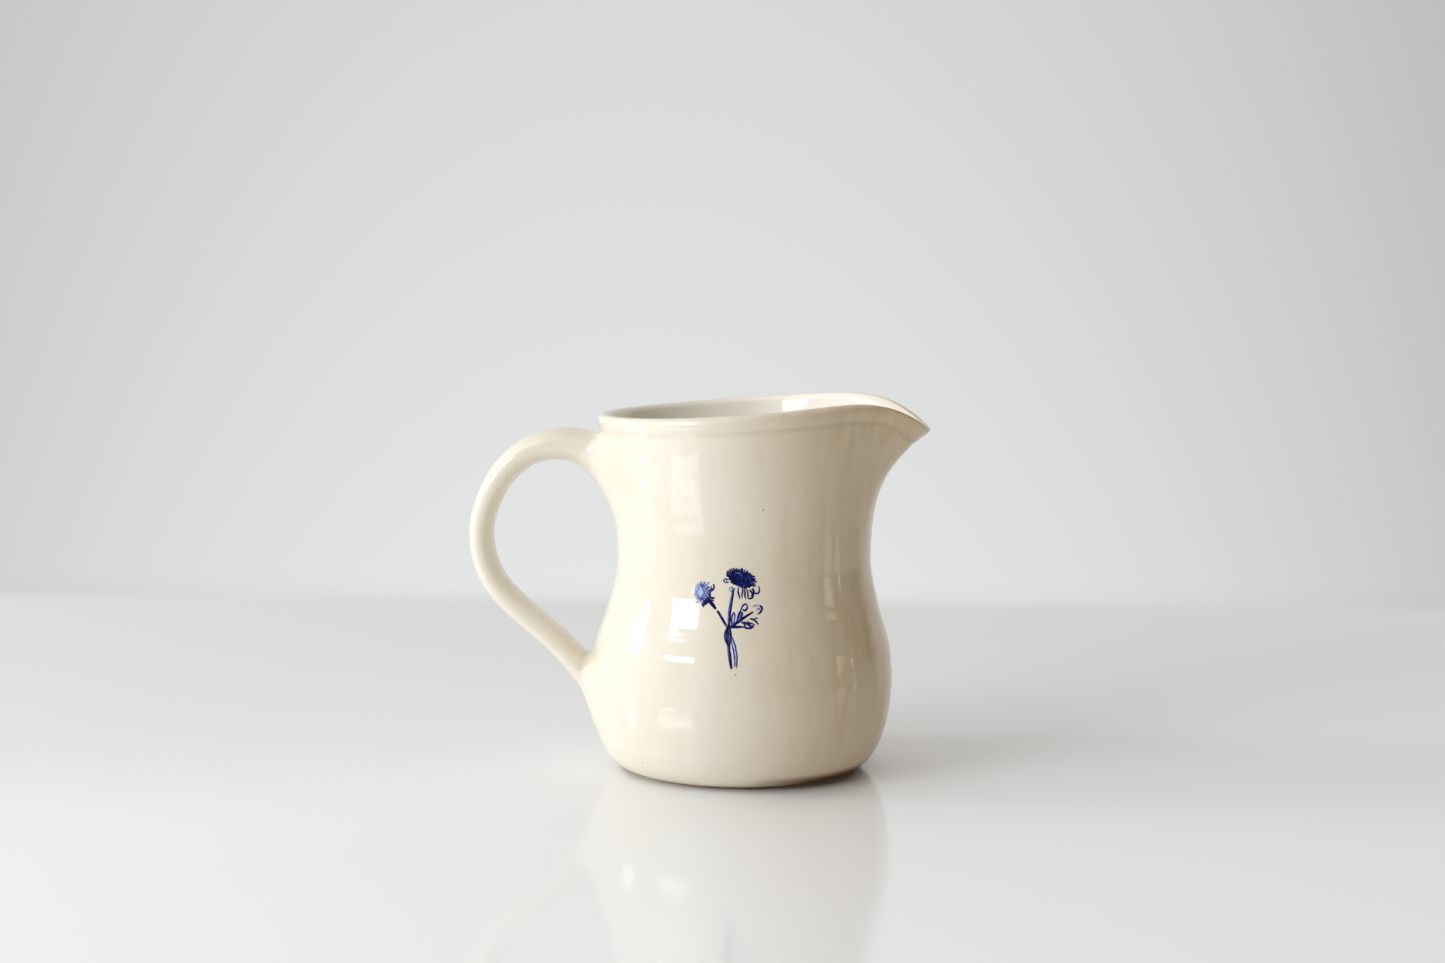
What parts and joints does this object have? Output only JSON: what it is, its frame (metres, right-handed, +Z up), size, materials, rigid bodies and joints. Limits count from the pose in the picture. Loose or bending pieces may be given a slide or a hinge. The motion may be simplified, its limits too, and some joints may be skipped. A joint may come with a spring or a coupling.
{
  "type": "cream jug",
  "caption": "Small wheel-thrown porcelain cream jug with a pulled spout, a bowed strap handle, a waisted body and a blue botanical print.",
  "frame": {"origin": "centre of the foot ring, on the table", "axes": "+Z up, +X from the axis towards the spout, -X towards the handle, -Y towards the printed face"},
  "size_m": [0.1148, 0.0754, 0.0923],
  "materials": {
    "porcelain": "unglazed, matte and fine-grained",
    "slip": "unglazed clay slip, smoothed by finger",
    "glaze": "glossy warm ivory glaze with faint throwing lines and small iron specks",
    "cobalt_print": "glossy cobalt-blue transfer print with uneven ink"
  },
  "bodies": {
    "root": {"thrown_body": "porcelain", "pulled_handle": "porcelain", "upper_slip_join": "slip", "lower_slip_join": "slip", "outer_glaze": "glaze", "inner_glaze": "glaze", "handle_glaze": "glaze", "large_blossom_print": "cobalt_print", "small_blossom_print": "cobalt_print", "stem_print": "cobalt_print", "leaf_print": "cobalt_print"}
  },
  "joints": []
}
